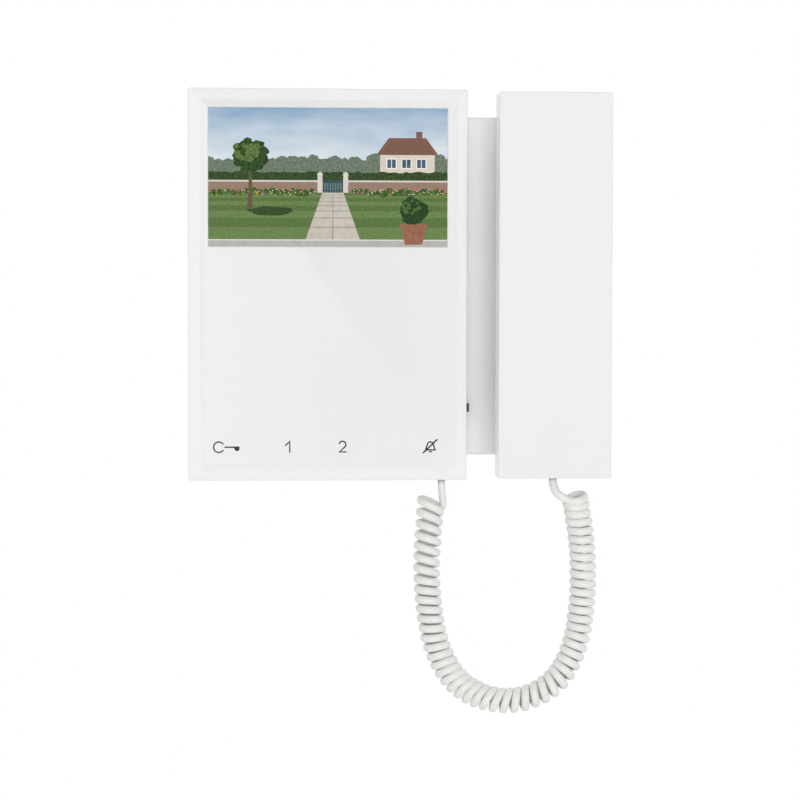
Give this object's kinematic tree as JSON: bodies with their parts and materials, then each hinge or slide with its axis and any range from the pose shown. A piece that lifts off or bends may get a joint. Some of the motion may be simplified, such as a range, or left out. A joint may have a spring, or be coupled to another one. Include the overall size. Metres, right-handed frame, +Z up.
{
  "type": "wall-mounted video intercom monitor with handset",
  "caption": "Slim white wall monitor with a colour display and touch keys, beside a slab handset that hangs on a cradle on a curly cord.",
  "frame": {"origin": "middle of the four wall screws of the mounting plate, on the wall face", "axes": "+Z up, +X to the right as seen from the room, +Y into the wall; the face looks along -Y"},
  "size_m": [0.1675, 0.044, 0.2538],
  "materials": {
    "gloss_white": "glossy white moulding",
    "housing_white": "fine spark-eroded white",
    "cradle_white": "satin white",
    "handset_white": "satin white",
    "lens_clear": "clear, polished",
    "foam_black": "closed-cell foam",
    "sheet_steel": "zinc plated",
    "display_glass": "dark display glass",
    "light_guide": "milky light guide",
    "flat_cable": "amber polyimide",
    "circuit_board": "green solder mask",
    "chip_black": "moulded epoxy",
    "led_white": "clear domes",
    "terminal_green": "moulded",
    "screw_steel": "zinc plated",
    "speaker_black": "moulded",
    "speaker_paper": "pressed paper",
    "socket_plastic": "moulded black",
    "magnet_nickel": "nickel plated",
    "spring_bronze": "phosphor bronze",
    "wire_sheath": "soft sheath",
    "cord_white": "smooth flexible sheath",
    "plug_clear": "clear moulding",
    "slider_black": "moulded black",
    "plunger_white": "smooth white",
    "rubber_black": "matt",
    "capsule_metal": "drawn can",
    "weight_steel": "plain steel"
  },
  "bodies": {
    "base": {"front_panel": "gloss_white", "rear_housing": "housing_white", "cradle_base": "cradle_white", "cradle_cover": "cradle_white", "display_lens": "lens_clear", "display_gasket": "foam_black", "speaker_gasket": "foam_black", "lcd_bezel_frame": "sheet_steel", "mounting_plate": "sheet_steel", "lcd_glass": "display_glass", "lcd_backlight": "light_guide", "lcd_ribbon_cable": "flat_cable", "touch_ribbon_cable": "flat_cable", "main_circuit_board": "circuit_board", "touch_board": "circuit_board", "cradle_board": "circuit_board", "board_chips": "chip_black", "hook_microswitch": "chip_black", "volume_switch": "chip_black", "key_leds": "led_white", "terminal_block": "terminal_green", "terminal_screws": "screw_steel", "housing_screws": "screw_steel", "board_screws": "screw_steel", "cradle_screws": "screw_steel", "cradle_link_screws": "screw_steel", "lock_screw": "screw_steel", "ringtone_speaker": "speaker_black", "speaker_cone": "speaker_paper", "cord_socket_base": "socket_plastic", "cradle_magnets": "magnet_nickel", "hook_leaf_spring": "spring_bronze", "cradle_wires": "wire_sheath", "cord_lead_base": "cord_white", "cord_coil": "cord_white", "cord_plug_base": "plug_clear"},
    "volume_slider": {"volume_slider": "slider_black"},
    "hook_plunger": {"hook_plunger": "plunger_white"},
    "handset": {"handset_front_shell": "handset_white", "handset_back_shell": "handset_white", "earpiece_gasket": "foam_black", "earpiece_capsule": "speaker_black", "microphone_boot": "rubber_black", "handset_bumpers": "rubber_black", "keeper_discs": "magnet_nickel", "microphone_capsule": "capsule_metal", "handset_weight": "weight_steel", "handset_wires": "wire_sheath", "handset_screws": "screw_steel", "cord_socket_handset": "socket_plastic", "cord_plug_handset": "plug_clear", "cord_lead_handset": "cord_white"}
  },
  "joints": [
    {"name": "handset_lift", "type": "slide", "parent": "base", "child": "handset", "axis": [0, -1, 0], "range_m": [0, 0.06]},
    {"name": "hook_plunger_travel", "type": "slide", "parent": "base", "child": "hook_plunger", "axis": [0, -1, 0], "range_m": [0, 0.0026]},
    {"name": "volume_slide", "type": "slide", "parent": "base", "child": "volume_slider", "axis": [0, 0, 1], "range_m": [-0.002, 0.002]}
  ],
  "couplings": [
    {"joint": "hook_plunger_travel", "follows": "handset_lift", "ratio": 0.0433}
  ]
}
